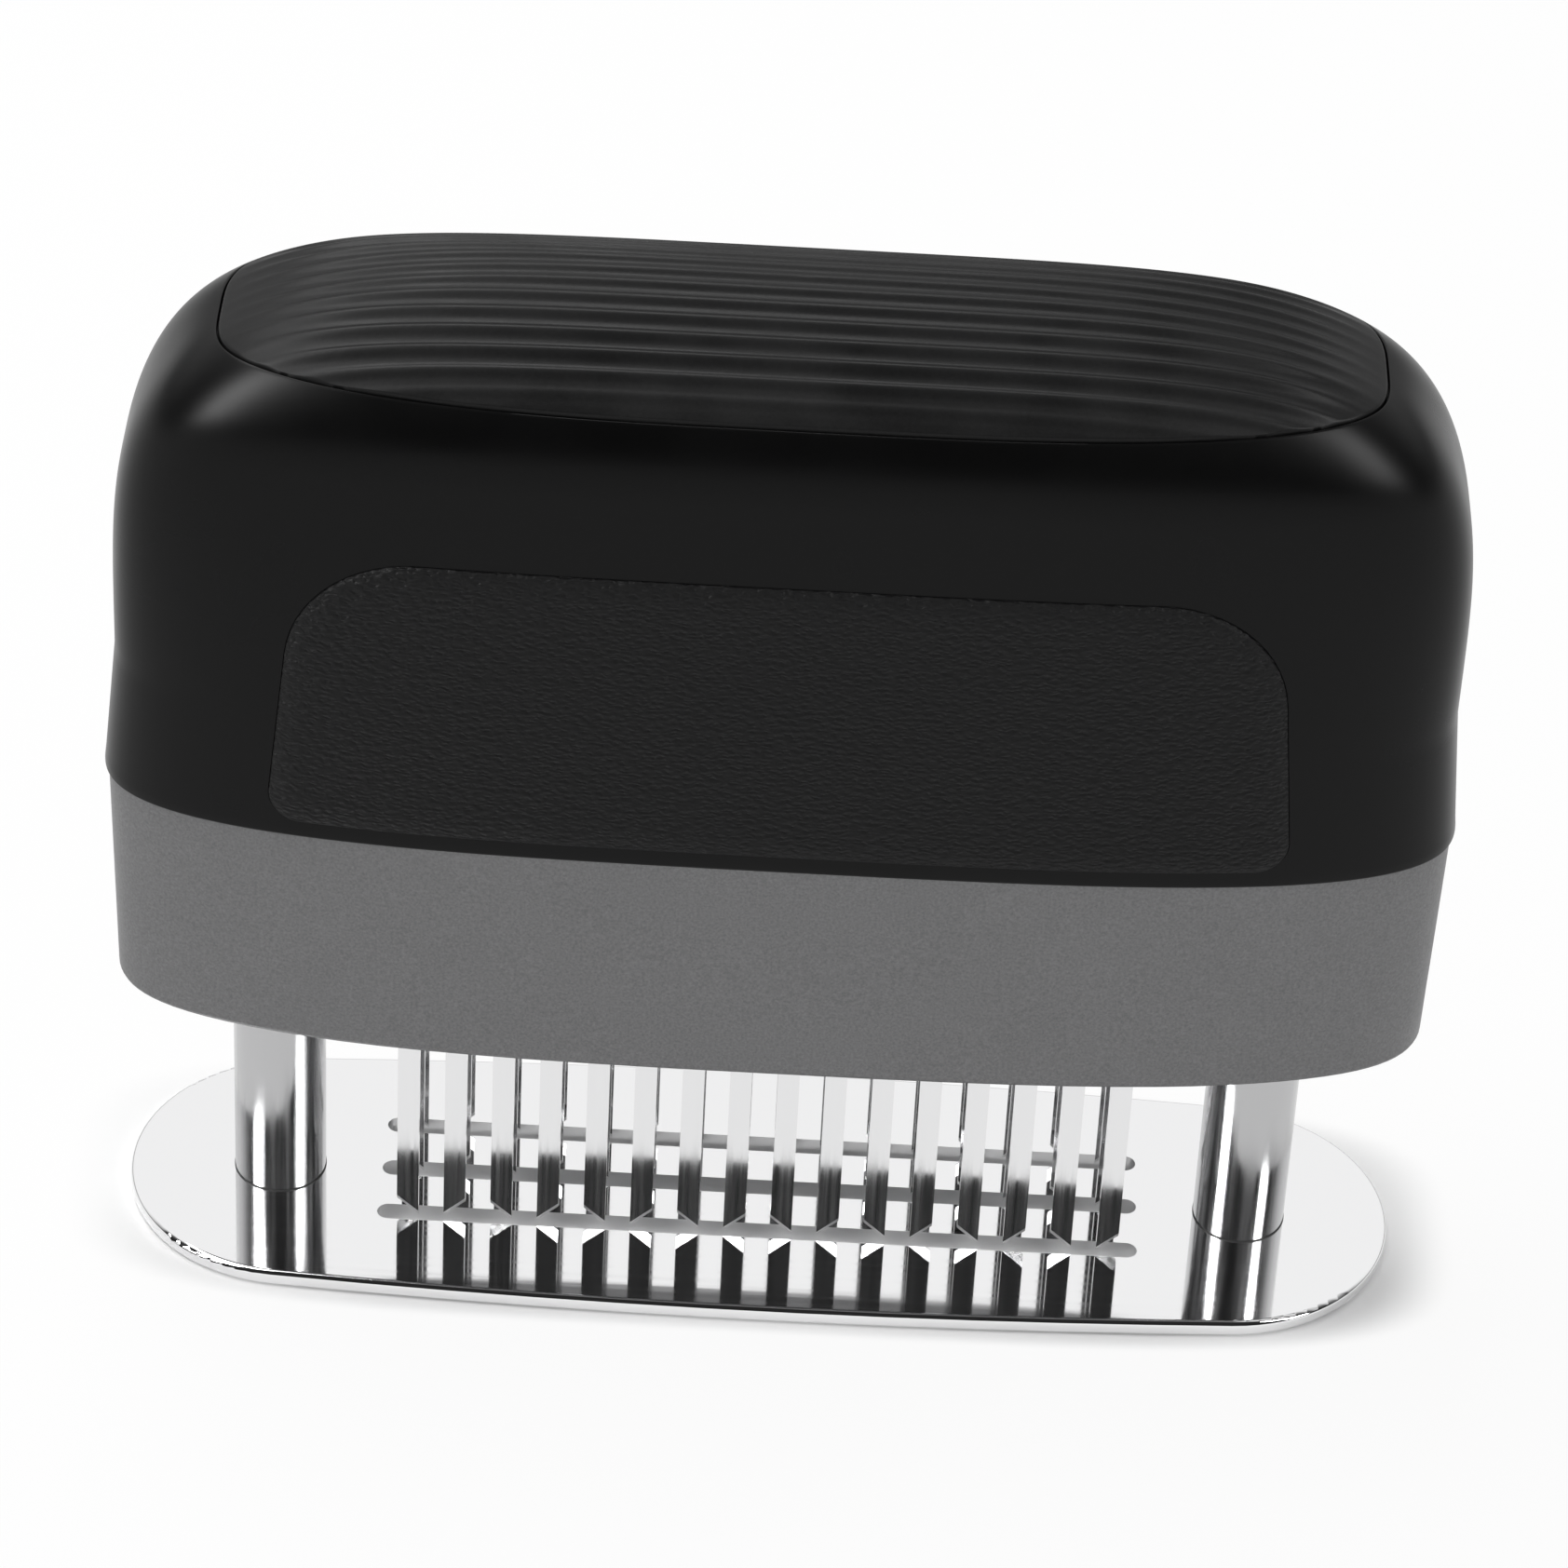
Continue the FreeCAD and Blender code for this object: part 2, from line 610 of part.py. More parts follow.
# Guides: a flanged bushing in the collar floor, a stop washer and a spring cup
def make_guides():
    bore = "sizes.post_diameter / 2 + sizes.running_clearance"
    sleeve = "sizes.bushing_diameter / 2"
    flange = "sizes.bushing_flange_diameter / 2"
    flange_top = FLOOR_TOP + " + sizes.bushing_flange_height"
    cup_outer = "sizes.guide_bore / 2 - sizes.fit_clearance"
    cup_inner = "sizes.spring_coil_diameter / 2 + sizes.spring_wire / 2 + sizes.spring_clearance"
    cup_top = "sizes.plate_thickness + sizes.travel + sizes.stop_gap + sizes.collar_height" \
              " + sizes.spring_seat_height"
    for name, side in SIDES:
        across = "%d * sizes.post_spacing / 2" % side
        turned(name + "_bushing", [
            (bore, HEAD_BOTTOM + " + sizes.fit_clearance"),
            (sleeve, HEAD_BOTTOM + " + sizes.fit_clearance"), (sleeve, FLOOR_TOP),
            (flange, FLOOR_TOP), (flange, flange_top), (sleeve, flange_top),
            (sleeve, BUSHING_TOP), (bore, BUSHING_TOP),
        ], x=across)
        turned(name + "_stop_washer", [
            (bore, BUSHING_TOP), (sleeve, BUSHING_TOP), (sleeve, POST_STOP), (bore, POST_STOP),
        ], x=across)
        turned(name + "_spring_cup", [
            ("0", cup_top), ("0", cup_top + " - sizes.spring_cup_height / 2"),
            (cup_inner, cup_top + " - sizes.spring_cup_height / 2"),
            (cup_inner, cup_top + " - sizes.spring_cup_height"),
            (cup_outer, cup_top + " - sizes.spring_cup_height"), (cup_outer, cup_top),
        ], x=across)


# Springs: wire wound in short straight steps between the post flange and the cup
def make_springs():
    wire = size("spring_wire")
    bottom = post_top + size("spring_clearance") + wire / 2
    top = spring_seat - size("spring_cup_height") / 2 - size("spring_clearance") - wire / 2
    radius = size("spring_coil_diameter") / 2
    steps = int(size("spring_turns") * size("spring_steps_per_turn"))
    path = []
    for i in range(steps + 1):
        turn = 2 * math.pi * i / size("spring_steps_per_turn")
        path.append(Vector(radius * math.cos(turn), radius * math.sin(turn),
                           (top - bottom) * i / steps))
    ring = [Vector(radius + wire / 2 * math.cos(math.pi * side / 3), 0,
                   wire / 2 * math.sin(math.pi * side / 3)) for side in range(6)]
    section = Part.makePolygon(ring + ring[:1])
    coil = Part.makePolygon(path).makePipeShell([section], True, False, 1)
    for name, side in SIDES:
        spring = shape_part(name + "_spring", coil)
        spring.Placement = FreeCAD.Placement(Vector(side * post_x, 0, bottom), Rotation())


# Collar: a tapered grey skirt with a floor that the blades and posts pass through
def make_collar():
    shell = collar_solid(0, head_bottom, seam, size("collar_edge_radius"))
    shell = shell.cut(collar_solid(-size("wall"), floor_top, seam + 1))
    half_length, half_width = head_half_sizes(seam)
    lip_start = seam - 2 * size("lip_height")
    outside = size("wall") + size("fit_clearance")
    inside = outside + size("lip_wall")
    lip = oval_prism(half_length - outside, half_width - outside, lip_start, 3 * size("lip_height"))
    lip = lip.cut(oval_prism(half_length - inside, half_width - inside, lip_start,
                             3 * size("lip_height")))
    shell = shell.fuse(lip)
    for name, side in SIDES:
        shell = shell.cut(cylinder(size("bushing_diameter") + 2 * size("fit_clearance"),
                                   head_bottom - 1, floor_top + 1, side * post_x))
    row_length = 2 * ((size("blade_pairs") - 0.5) * size("blade_pitch") + size("blade_width") / 2)
    gap = size("blade_slot_clearance")
    for name, row in ROWS:
        shell = shell.cut(slot_solid(row_length + 2 * gap + size("blade_thickness"),
                                     size("blade_thickness") + 2 * gap,
                                     head_bottom - 1, floor_top + 1, row * size("row_spacing")))
    clearance = size("screw_clearance")
    screw_sets = (
        ("carrier_screw", size("carrier_screw_spacing") / 2, size("row_spacing") / 2),
        ("collar_screw", size("collar_screw_spacing") / 2, size("collar_screw_offset")))
    for name, across, deep in screw_sets:
        recess = size(name + "_head_height") + size("fit_clearance")
        for x, y in CORNERS:
            shell = shell.cut(cylinder(size(name + "_diameter") + 2 * size("fit_clearance"),
                                       head_bottom - 1, floor_top + 1, x * across, y * deep))
            shell = shell.cut(cylinder(size(name + "_head") + 2 * clearance,
                                       head_bottom - 1, head_bottom + recess,
                                       x * across, y * deep))
    shape_part("lower_collar", shell)


def panel_prism(grow):
    """Prism of a grip panel's outline, grown all round, through the whole depth."""
    bottom = seam + size("panel_bottom") - grow
    top = seam + size("panel_bottom") + size("panel_height") + grow
    low = size("panel_length") / 2 + grow
    high = size("panel_top_length") / 2 + grow
    deep = size("head_width")
    corners = [Vector(-low, -deep, bottom), Vector(low, -deep, bottom),
               Vector(high, -deep, top), Vector(-high, -deep, top)]
    face = Part.Face(Part.makePolygon(corners + corners[:1]))
    prism = face.extrude(Vector(0, 2 * deep, 0))
    for radius, height in ((size("panel_bottom_radius"), bottom), (size("panel_top_radius"), top)):
        edges = [edge for edge in prism.Edges
                 if edge.BoundBox.YLength > deep and abs(edge.BoundBox.ZMin - height) < 0.01]
        prism = prism.makeFillet(radius + grow, edges)
    return prism


def half_space(side):
    """Large box in front of (-1) or behind (1) the middle of the head."""
    reach = size("head_length")
    return Part.makeBox(2 * reach, reach, 2 * reach, Vector(-reach, min(0, side) * reach, 0))


# Housing: a domed black shell with guide tubes and screw bosses inside
def make_housing():
    wall = size("wall")
    roof = rim - size("pad_recess")
    outer = head_solid(0, seam, rim)
    shell = outer.cut(head_solid(-wall, seam, roof - wall))
    half_length, half_width = head_half_sizes(rim)
    lip = size("pad_lip")
    shell = shell.cut(oval_prism(half_length - lip, half_width - lip, roof, 2 * size("pad_recess")))

    core = head_solid(-size("panel_thickness"), seam, rim)
    shell = shell.cut(panel_prism(size("panel_clearance")).cut(core))

    bore = size("guide_bore")
    tube = bore + 2 * size("guide_wall")
    tube_bottom = seam + size("lip_height") + 1
    boss_bottom = floor_top + size("boss_gap")
    thread = size("collar_screw_diameter") - 2 * size("fit_clearance")
    screw_top = head_bottom + size("collar_screw_head_height") + size("collar_screw_length")
    inside = outer.common(head_solid(-wall / 2, seam, roof))
    for name, side in SIDES:
        guide = cylinder(tube, tube_bottom, roof, side * post_x).common(inside)
        shell = shell.fuse(guide)
    for x, y in CORNERS:
        across = x * size("collar_screw_spacing") / 2
        deep = y * size("collar_screw_offset")
        shell = shell.fuse(cylinder(size("boss_diameter"), boss_bottom, shoulder, across, deep))
    for name, side in SIDES:
        shell = shell.cut(cylinder(bore, boss_bottom - 1, spring_seat, side * post_x))
    for x, y in CORNERS:
        across = x * size("collar_screw_spacing") / 2
        deep = y * size("collar_screw_offset")
        shell = shell.cut(cylinder(thread + 4 * size("fit_clearance"), boss_bottom - 1,
                                   screw_top + 2, across, deep))
    shape_part("upper_housing", shell)


def rib_slabs(top):
    """Upright slabs along X that leave one long rib each on the pad."""
    slabs = []
    each_side = int(size("ribs_each_side"))
    for index in range(-each_side, each_side + 1):
        deep = index * size("rib_spacing") - size("rib_width") / 2
        slabs.append(Part.makeBox(size("rib_length"), size("rib_width"), top,
                                  Vector(-size("rib_length") / 2, deep, rim)))
    return Part.makeCompound(slabs)


# Soft grips: a domed top pad and two side panels let into the housing
def make_grips():
    roof = rim - size("pad_recess")
    inset = size("pad_lip") + size("panel_clearance")
    half_length, half_width = head_half_sizes(rim)
    foot = oval_prism(half_length - inset, half_width - inset, roof, size("pad_recess"))
    top = crown - size("pad_lip")
    dome = head_solid(-inset, rim, top)
    ribs = head_solid(size("rib_rise") - inset, rim, top + size("rib_rise")).common(rib_slabs(top))
    shape_part("top_grip_pad", foot.fuse(dome).fuse(ribs))

    ring = head_solid(size("panel_proud"), seam, rim).cut(
        head_solid(-size("panel_thickness"), seam - 0.01, rim + 0.01))
    for name, side in (("front", -1), ("rear", 1)):
        panel = ring.common(panel_prism(0)).common(half_space(side))
        shape_part(name + "_grip_panel", panel)


make_base_plate()
make_posts()
make_post_screws()
make_blade_combs()
make_blade_carrier()
make_comb_clamp()
make_comb_pins()
make_head_screws()
make_guides()
make_springs()
make_collar()
make_housing()
make_grips()
doc.recompute()

# Every object is sound before any file is written
for item in doc.Objects:
    if "Invalid" in item.State or "Error" in item.State:
        raise RuntimeError("%s did not recompute: %s" % (item.Label, item.State))

sub_parts = [item for item in doc.Objects
             if item.TypeId in ("PartDesign::Body", "Part::Feature")]
for item in sub_parts:
    if item.Shape.isNull() or not item.Shape.isValid():
        raise RuntimeError(item.Label + " has no valid shape")

os.makedirs("parts", exist_ok=True)
for item in sub_parts:
    item.Shape.exportStep("parts/" + item.Label + ".step")
    box = item.Shape.BoundBox
    print("%-20s %d solid(s) %9.1f mm3  z %.1f to %.1f" % (
        item.Label, len(item.Shape.Solids), item.Shape.Volume, box.ZMin, box.ZMax))
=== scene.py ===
import json
import math

import bmesh
import bpy
import numpy as np
from mathutils import Matrix, Vector


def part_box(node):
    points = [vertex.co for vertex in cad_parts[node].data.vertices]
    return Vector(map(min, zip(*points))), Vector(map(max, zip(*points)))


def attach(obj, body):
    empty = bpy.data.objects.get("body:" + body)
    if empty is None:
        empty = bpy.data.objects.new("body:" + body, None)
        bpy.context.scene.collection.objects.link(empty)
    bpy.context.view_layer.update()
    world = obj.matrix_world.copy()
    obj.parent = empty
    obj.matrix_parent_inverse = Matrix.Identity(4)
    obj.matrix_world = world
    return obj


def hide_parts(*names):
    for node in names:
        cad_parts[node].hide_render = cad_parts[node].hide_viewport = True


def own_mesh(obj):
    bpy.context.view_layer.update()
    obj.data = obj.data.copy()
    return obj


# Blade meat tenderizer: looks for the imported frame, in metres.

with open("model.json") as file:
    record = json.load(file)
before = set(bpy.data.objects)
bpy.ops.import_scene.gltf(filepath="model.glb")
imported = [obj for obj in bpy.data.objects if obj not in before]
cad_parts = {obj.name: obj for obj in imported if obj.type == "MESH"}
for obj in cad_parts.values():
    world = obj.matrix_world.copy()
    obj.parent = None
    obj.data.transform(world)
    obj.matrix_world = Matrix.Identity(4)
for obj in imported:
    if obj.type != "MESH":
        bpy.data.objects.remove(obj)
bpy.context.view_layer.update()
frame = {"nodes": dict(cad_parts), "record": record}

MM = 0.001

# Heights of the head, fitted to the outline in the photograph
SEAM = 60.0 * MM
SHOULDER = 76.0 * MM
SIDE_ROUND = 106.1 * MM
RIM_BASE = 113.4 * MM
CROWN = 122.9 * MM
END_POWER = 4.0
SIDE_POWER = 2.0

# Half sizes of the head and power of its oval, at the seam and further up
HALF_LENGTH = (72.3 * MM, 70.9 * MM)
HALF_WIDTH = (17.5 * MM, 17.8 * MM)
OVAL_POWER = (3.3, 4.2)

# Lower edge of the housing: its rounding and how far its closed underside is drawn in
SEAM_EDGE = 0.35 * MM
SEAM_INSET = 2.4 * MM

# Rows of the housing's skin: seam edge, side, crown, lip
SEAM_ROWS = 6
SIDE_ROWS = 80
CROWN_ROWS = 16
LIP_ROWS = 5

# Halving steps that find the height of the crown above a place
HALVING_STEPS = 40

# Plan of the line between housing and pad: half length, half width, power
RIM_OVAL = (60.0 * MM, 15.7 * MM, 3.6)

# Top pad: its edge, its recess in the housing and the bottom of that recess
LIP_ROUND = 0.24 * MM
PAD_GAP = 0.2 * MM
PAD_EDGE = 0.12 * MM
PAD_RECESS = 1.0 * MM
RECESS_FLOOR_INSET = 6.0 * MM
RECESS_FLOOR_SINK = 5.0 * MM

# Rows of the pad's dome, from its edge to its middle, closest at the edge
PAD_ROW_POWER = 1.2
PAD_ROW_SPREAD = 0.995
PAD_ROW_START = 0.002

# Long ribs of the pad, spaced by the angle of the crown across the head
RIB_SPACING = math.radians(7.4)
RIB_HEIGHT = 0.5 * MM
RIB_POWER = 3
RIB_SINK = 0.6
RIB_FADE = (44.0 * MM, 60.0 * MM)
RIB_LAST_TURN = math.radians(56)
RIB_TURN_FADE = math.radians(16)
RIB_TURN_LIMIT = 0.95

# Grip panels
PANEL_BOTTOM = 62.2 * MM
PANEL_HEIGHT = 34.4 * MM
PANEL_HALF_LOW = 53.9 * MM
PANEL_HALF_HIGH = 50.5 * MM
PANEL_RADIUS_TOP = 14.0 * MM
PANEL_RADIUS_BOTTOM = 3.4 * MM
PANEL_RADIUS_LEAST = 0.4 * MM
PANEL_GAP = 0.08 * MM
PANEL_DEPTH = 0.9 * MM
PANEL_SWELL = 0.62 * MM
PANEL_ROLL = 3.0 * MM
PANEL_STEP = 0.05 * MM

# Rings of a grip: steps in from its outline, then shares of the field inside them
PANEL_INSETS = np.array((0.03, 0.1, 0.25, 0.45, 0.8, 1.2, 1.7, 2.3, 3.0)) * MM
PANEL_FIELD = np.linspace(0.94, 0.04, 26)

# Block that cuts a grip's recess: how far out it starts, and shares of its inner face
CUTTER_REACH = 30.0 * MM
CUTTER_FIELD = (1.0, 0.97, 0.9, 0.8, 0.65, 0.5, 0.35, 0.2, 0.08)

# Dark ring at the foot of each post: painted shade in the crease where it meets the plate
POST_RADIUS = 5.1 * MM
CREASE_SHADE_PROUD = 0.06 * MM
CREASE_SHADE_HEIGHT = 0.14 * MM
CREASE_SHADE_POINTS = 64

# Return springs; on the real tool they shorten by the travel of the head
WIRE = 1.5 * MM
SPRING_TURNS = 9
STEPS_PER_TURN = 40
WIRE_SIDES = 12

# Camera, found by fitting the base plate, the posts and the blades to the photograph
IMAGE_SIZE = 1684
FOCAL_PIXELS = 6845.0
CAMERA_PITCH = math.radians(36.67)
CAMERA_ROLL = math.radians(3.05)
CAMERA_AIM = Vector((0.36 * MM, 0.0, 58.72 * MM))
CAMERA_DISTANCE = 684.4 * MM
SENSOR_WIDTH = 36

# Brightness of the studio for matte surfaces
ROOM_LEVEL = 0.34

# What gloss mirrors of it: level and range of direction on the camera side and at the horizon
CAMERA_SIDE_LEVEL = 0.02
CAMERA_SIDE_RANGE = (-0.25, 0.45)
HORIZON_LEVEL = 0.2
HORIZON_RANGE = (0.03, 0.32)

# Floor, and the painted shadow: an oval under the plate, reaching a little past its edge, where it doesn't
# glow
FLOOR_SIZE = 3.0
FLOOR_COLOR = (0.9, 0.9, 0.9)
FLOOR_WHITE_SHARE = 0.92
SHADOW_REACH = (70.0 * MM, 20.3 * MM)
SHADOW_POWER = 4.0
SHADOW_RANGE = (0.75, 1.6)

# Area lights: name, place, target, size, power, whether they light matte surfaces
SOFTBOXES = (
    ("top_softbox", (-0.3, 0.2, 1.0), (0, 0, 0.06), (0.9, 0.5), 9, True),
    ("left_strip", (-0.86, -0.6, 0.72), (0, 0, 0.04), (0.3, 0.9), 17, False),
    ("right_strip", (0.86, -0.6, 0.72), (0, 0, 0.04), (0.3, 0.9), 10, False),
)


# Shapes
def rounded(full, height, start, power):
    """Half size at a height of a side that rounds over from start to the crown."""
    rise = np.clip((height - start) / (CROWN - start), 0.0, 1.0)
    return full * (1.0 - rise ** power) ** (1.0 / power)


def head_half_sizes(height):
    """Half length and half width of the head at a height."""
    slope = np.clip((height - SEAM) / (SHOULDER - SEAM), None, 1.0)
    full_length = HALF_LENGTH[0] + slope * (HALF_LENGTH[1] - HALF_LENGTH[0])
    full_width = HALF_WIDTH[0] + slope * (HALF_WIDTH[1] - HALF_WIDTH[0])
    return (rounded(full_length, height, SHOULDER, END_POWER),
            rounded(full_width, height, SIDE_ROUND, SIDE_POWER))


def oval_power(height):
    """How square the head's oval is at a height."""
    rise = np.clip((height - SEAM) / (CROWN - SEAM), 0.0, 1.0)
    return OVAL_POWER[0] + rise * (OVAL_POWER[1] - OVAL_POWER[0])


def plan_oval(half_length, half_width, power, count):
    """Points of a superellipse in X and Y."""
    turn = np.linspace(0, 2 * math.pi, count, endpoint=False)
    across, deep = np.cos(turn), np.sin(turn)
    reach = (abs(across) ** power + abs(deep) ** power) ** (-1 / power)
    return np.c_[half_length * across * reach, half_width * deep * reach]


def oval_ring(height, offset, count, lift=0.0):
    """Points round the head's oval of a height, moved outwards by offset and up by lift."""
    half_length, half_width = head_half_sizes(height)
    plan = plan_oval(half_length + offset, half_width + offset, oval_power(height), count)
    return np.c_[plan, np.full(count, height + lift)]


def rim_ring(offset, sink, count):
    """Ring under the crown's surface, beside the line between housing and pad."""
    half_length, half_width, power = RIM_OVAL
    plan = plan_oval(half_length + offset, half_width + offset, power, count)
    return np.c_[plan, dome_height(plan[:, 0], plan[:, 1]) - sink]


def head_depth(across, height):
    """How far the head's side lies from the middle at a place of its front."""
    half_length, half_width = head_half_sizes(height)
    power = oval_power(height)
    share = np.clip(abs(across) / half_length, 0, 0.999) ** power
    return half_width * (1.0 - share) ** (1 / power)


def mesh_object(name, points, faces, smooth=True):
    mesh = bpy.data.meshes.new(name)
    mesh.from_pydata([tuple(p) for p in points], [], faces)
    mesh.validate()
    if smooth:
        mesh.shade_smooth()
    else:
        mesh.shade_flat()
    item = bpy.data.objects.new(name, mesh)
    bpy.context.scene.collection.objects.link(item)
    return item


def skin_rings(rings, close_first=False, close_last=False):
    """Points and quads between rings of equal count, with optional end faces."""
    count = len(rings[0])
    points = np.vstack(rings)
    faces = []
    for row in range(len(rings) - 1):
        low, high = row * count, (row + 1) * count
        for i in range(count):
            j = (i + 1) % count
            faces.append((low + i, low + j, high + j, high + i))
    if close_first:
        faces.append(tuple(reversed(range(count))))
    if close_last:
        last = (len(rings) - 1) * count
        faces.append(tuple(range(last, last + count)))
    return points, faces


def housing_shell(count=720):
    """Black housing: outer skin, seam edge below, sharp lip and pad recess above."""
    start = SEAM + SEAM_EDGE
    rings = [oval_ring(SEAM, -SEAM_INSET, count), oval_ring(SEAM, -SEAM_EDGE, count)]
    for turn in np.linspace(0, math.pi / 2, SEAM_ROWS)[1:]:
        rings.append(oval_ring(SEAM, SEAM_EDGE * (math.sin(turn) - 1), count,
                               SEAM_EDGE * (1 - math.cos(turn))))
    for turn in np.linspace(0, math.pi / 2, SIDE_ROWS)[1:]:
        rings.append(oval_ring(start + math.sin(turn) * (RIM_BASE - start), 0, count))
    base = rings[-1][:, :2]
    rim = rim_ring(0, 0, count)[:, :2]
    for share in np.linspace(0, 1, CROWN_ROWS)[1:]:
        plan = base + (rim - base) * share
        rings.append(np.c_[plan, dome_height(plan[:, 0], plan[:, 1])])
    for turn in np.linspace(0, math.pi / 2, LIP_ROWS)[1:]:
        rings.append(rim_ring(-LIP_ROUND * math.sin(turn), LIP_ROUND * (1 - math.cos(turn)), count))
    rings.append(rim_ring(-LIP_ROUND, PAD_RECESS, count))
    rings.append(rim_ring(-RECESS_FLOOR_INSET, RECESS_FLOOR_SINK, count))
    points, faces = skin_rings(rings, close_first=True, close_last=True)
    return mesh_object("housing_shell", points, faces)


def corner_arc(corners, i, inset, arc_points=14):
    """Points round one corner of the grip's outline."""
    across, up, radius = corners[i]
    here = np.array((across, up))
    before = np.array(corners[i - 1][:2]) - here
    after = np.array(corners[(i + 1) % len(corners)][:2]) - here
    before /= np.linalg.norm(before)
    after /= np.linalg.norm(after)
    half_angle = math.acos(np.dot(before, after)) / 2
    radius = max(radius - inset, PANEL_RADIUS_LEAST)
    middle_way = (before + after) / np.linalg.norm(before + after)
    centre = here + middle_way * radius / math.sin(half_angle)
    start = here + before * radius / math.tan(half_angle) - centre
    end = here + after * radius / math.tan(half_angle) - centre
    sweep = math.pi - 2 * half_angle
    arc = []
    for turn in np.linspace(0, 1, arc_points):
        mix = (math.sin((1 - turn) * sweep) * start + math.sin(turn * sweep) * end) / math.sin(sweep)
        arc.append(centre + mix)
    return arc


def panel_outline(inset, side_points=40):
    """Rounded trapezoid in X and Z, moved inwards by inset."""
    low = PANEL_BOTTOM + inset
    high = PANEL_BOTTOM + PANEL_HEIGHT - inset
    corners = ((PANEL_HALF_LOW - inset, low, PANEL_RADIUS_BOTTOM),
               (PANEL_HALF_HIGH - inset, high, PANEL_RADIUS_TOP),
               (-PANEL_HALF_HIGH + inset, high, PANEL_RADIUS_TOP),
               (-PANEL_HALF_LOW + inset, low, PANEL_RADIUS_BOTTOM))
    arcs = [corner_arc(corners, i, inset) for i in range(len(corners))]
    points = []
    for i, arc in enumerate(arcs):
        start, end = arc[-1], arcs[(i + 1) % len(arcs)][0]
        points += arc
        points += [start + (end - start) * step / side_points for step in range(1, side_points)]
    return np.array(points)


def on_front(outline, proud, side):
    """Puts points of X and Z on the head's front (-1) or rear (1) face."""
    depth = head_depth(outline[:, 0], outline[:, 1]) + proud
    return np.c_[outline[:, 0], side * depth, outline[:, 1]]


def grip_rings(side):
    """Rings of a grip's skin: foot in the recess, rolled edge, swelled field."""
    rings = [on_front(panel_outline(0.0), -PANEL_DEPTH, side),
             on_front(panel_outline(0.0), PANEL_STEP, side)]
    for inset in PANEL_INSETS:
        share = min(inset / PANEL_ROLL, 1.0)
        swell = PANEL_SWELL * math.sqrt(1 - (1 - share) ** 2)
        rings.append(on_front(panel_outline(inset), swell + PANEL_STEP, side))
    inner = panel_outline(PANEL_ROLL)
    middle = inner.mean(axis=0)
    for share in PANEL_FIELD:
        rings.append(on_front(middle + (inner - middle) * share, PANEL_SWELL + PANEL_STEP, side))
    return rings


def grip_panel(name, side):
    points, faces = skin_rings(grip_rings(side), close_last=True)
    item = mesh_object(name, points, faces)
    if side > 0:
        item.data.flip_normals()
    return item


def panel_cutter(side):
    """Closed block that cuts the grip's recess into the housing."""
    outline = panel_outline(-PANEL_GAP)
    middle = outline.mean(axis=0)
    rings = [np.c_[outline[:, 0], np.full(len(outline), side * CUTTER_REACH), outline[:, 1]]]
    for share in CUTTER_FIELD:
        rings.append(on_front(middle + (outline - middle) * share, -PANEL_DEPTH, side))
    points, faces = skin_rings(rings, close_first=True, close_last=True)
    item = mesh_object("cutter", points, faces)
    turn_normals_out(item)
    return item


def turn_normals_out(item):
    work = bmesh.new()
    work.from_mesh(item.data)
    bmesh.ops.recalc_face_normals(work, faces=work.faces)
    work.to_mesh(item.data)
    work.free()


def cut_with(item, cutter):
    modifier = item.modifiers.new("cut", "BOOLEAN")
    modifier.operation = "DIFFERENCE"
    modifier.object = cutter
    modifier.solver = "EXACT"
    apply_modifiers(item)
    bpy.data.objects.remove(cutter)


def apply_modifiers(item):
    graph = bpy.context.evaluated_depsgraph_get()
    mesh = bpy.data.meshes.new_from_object(item.evaluated_get(graph))
    item.modifiers.clear()
    item.data = mesh


def smooth_by_angle(item, degrees):
    item.data.shade_smooth()
    item.data.set_sharp_from_angle(angle=math.radians(degrees))


def dome_height(across, deep):
    """Height of the crown's surface above points of the plan, by halving steps."""
    low = np.full(across.shape, SHOULDER)
    high = np.full(across.shape, CROWN)
    for _ in range(HALVING_STEPS):
        middle = (low + high) / 2
        half_length, half_width = head_half_sizes(middle)
        half_length = np.maximum(half_length, 1e-9)
        half_width = np.maximum(half_width, 1e-9)
        power = oval_power(middle)
        inside = (abs(across) / half_length) ** power + (abs(deep) / half_width) ** power < 1
        low = np.where(inside, middle, low)
        high = np.where(inside, high, middle)
    return low


def rib_lift(across, deep):
    """Height of the long ribs, which fade out towards the pad's ends and sides."""
    turn = np.arcsin(np.clip(deep / HALF_WIDTH[1], -RIB_TURN_LIMIT, RIB_TURN_LIMIT))
    crest = abs(np.cos(math.pi * turn / RIB_SPACING))
    fade = np.clip((RIB_FADE[1] - abs(across)) / (RIB_FADE[1] - RIB_FADE[0]), 0, 1)
    fade = fade * fade * (3 - 2 * fade)
    edge = np.clip((RIB_LAST_TURN - abs(turn)) / RIB_TURN_FADE, 0, 1)
    return RIB_HEIGHT * (crest ** RIB_POWER - RIB_SINK) * fade * edge


def top_pad(count=960, rows=150):
    """Soft pad: straight foot in the recess, edge, then the ribbed dome."""
    inset = LIP_ROUND + PAD_GAP
    rings = [rim_ring(-inset, PAD_RECESS, count), rim_ring(-inset, PAD_EDGE, count)]
    plan = rings[-1][:, :2]
    closeness = (np.arange(rows) / rows) ** PAD_ROW_POWER
    for share in 1 - closeness * PAD_ROW_SPREAD - PAD_ROW_START:
        across, deep = (plan * share).T
        rings.append(np.c_[across, deep, dome_height(across, deep) + rib_lift(across, deep)])
    points, faces = skin_rings(rings, close_last=True)
    return mesh_object("ribbed_pad", points, faces)


